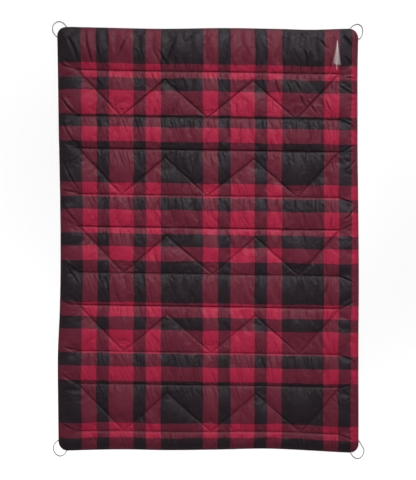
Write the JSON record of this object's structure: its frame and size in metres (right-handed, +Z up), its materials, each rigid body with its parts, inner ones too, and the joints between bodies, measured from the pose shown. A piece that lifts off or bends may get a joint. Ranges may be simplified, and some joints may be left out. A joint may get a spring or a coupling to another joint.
{
  "type": "camp blanket",
  "caption": "Rectangular quilted camp blanket with straight and zigzag stitched bands, rounded corners, a topstitched edge and a cord loop at each corner.",
  "frame": {"origin": "on the ground under the centre of the blanket", "axes": "+Z up through the face, +Y towards the head end, +X to the right when the blanket is seen from above with its head end up"},
  "size_m": [1.3244, 1.8324, 0.022],
  "materials": {
    "plaid_cloth": "printed polyester taffeta, satin sheen, red and black plaid",
    "back_cloth": "plain polyester taffeta, satin sheen, charcoal",
    "wadding": "matt white polyester fill",
    "thread": "matt polyester sewing thread, dark",
    "loop_cord": "round braided cord, dark grey"
  },
  "bodies": {
    "head_panel": {"head_face_cloth": "plaid_cloth", "head_wadding": "wadding", "head_back_cloth": "back_cloth", "head_upper_quilting_row": "thread", "head_lower_quilting_row": "thread", "head_zigzag_quilting_row": "thread", "head_end_topstitch": "thread"},
    "chest_panel": {"chest_face_cloth": "plaid_cloth", "chest_wadding": "wadding", "chest_back_cloth": "back_cloth", "chest_upper_quilting_row": "thread", "chest_lower_quilting_row": "thread", "chest_zigzag_quilting_row": "thread", "chest_left_topstitch": "thread", "chest_right_topstitch": "thread"},
    "middle_panel": {"middle_face_cloth": "plaid_cloth", "middle_wadding": "wadding", "middle_back_cloth": "back_cloth", "middle_upper_quilting_row": "thread", "middle_lower_quilting_row": "thread", "middle_zigzag_quilting_row": "thread", "middle_left_topstitch": "thread", "middle_right_topstitch": "thread"},
    "knee_panel": {"knee_face_cloth": "plaid_cloth", "knee_wadding": "wadding", "knee_back_cloth": "back_cloth", "knee_upper_quilting_row": "thread", "knee_lower_quilting_row": "thread", "knee_zigzag_quilting_row": "thread", "knee_left_topstitch": "thread", "knee_right_topstitch": "thread"},
    "foot_panel": {"foot_face_cloth": "plaid_cloth", "foot_wadding": "wadding", "foot_back_cloth": "back_cloth", "foot_upper_quilting_row": "thread", "foot_lower_quilting_row": "thread", "foot_zigzag_quilting_row": "thread", "foot_end_topstitch": "thread"},
    "head_left_loop": {"head_left_loop": "loop_cord"},
    "head_right_loop": {"head_right_loop": "loop_cord"},
    "foot_left_loop": {"foot_left_loop": "loop_cord"},
    "foot_right_loop": {"foot_right_loop": "loop_cord"}
  },
  "joints": [
    {"name": "knee_fold", "type": "hinge", "parent": "foot_panel", "child": "knee_panel", "pos_m": [0, -0.482, 0.0223], "axis": [1, 0, 0], "range_deg": [0, 178]},
    {"name": "middle_fold", "type": "hinge", "parent": "knee_panel", "child": "middle_panel", "pos_m": [0, -0.15, -0.0003], "axis": [1, 0, 0], "range_deg": [-178, 0]},
    {"name": "chest_fold", "type": "hinge", "parent": "middle_panel", "child": "chest_panel", "pos_m": [0, 0.182, 0.0223], "axis": [1, 0, 0], "range_deg": [0, 178]},
    {"name": "head_fold", "type": "hinge", "parent": "chest_panel", "child": "head_panel", "pos_m": [0, 0.514, -0.0003], "axis": [1, 0, 0], "range_deg": [-178, 0]},
    {"name": "head_left_loop_swing", "type": "hinge", "parent": "head_panel", "child": "head_left_loop", "pos_m": [-0.6178, 0.8718, 0.00125], "axis": [0.7071, 0.7071, 0], "range_deg": [0, 120]},
    {"name": "head_right_loop_swing", "type": "hinge", "parent": "head_panel", "child": "head_right_loop", "pos_m": [0.6193, 0.86825, 0.00125], "axis": [0.6138, -0.7894, 0], "range_deg": [0, 120]},
    {"name": "foot_left_loop_swing", "type": "hinge", "parent": "foot_panel", "child": "foot_left_loop", "pos_m": [-0.6178, -0.8718, 0.00125], "axis": [-0.7071, 0.7071, 0], "range_deg": [0, 120]},
    {"name": "foot_right_loop_swing", "type": "hinge", "parent": "foot_panel", "child": "foot_right_loop", "pos_m": [0.6178, -0.8718, 0.00125], "axis": [-0.7071, -0.7071, 0], "range_deg": [0, 120]}
  ],
  "couplings": [
    {"joint": "middle_fold", "follows": "knee_fold", "ratio": -1},
    {"joint": "chest_fold", "follows": "knee_fold", "ratio": 1},
    {"joint": "head_fold", "follows": "knee_fold", "ratio": -1}
  ]
}
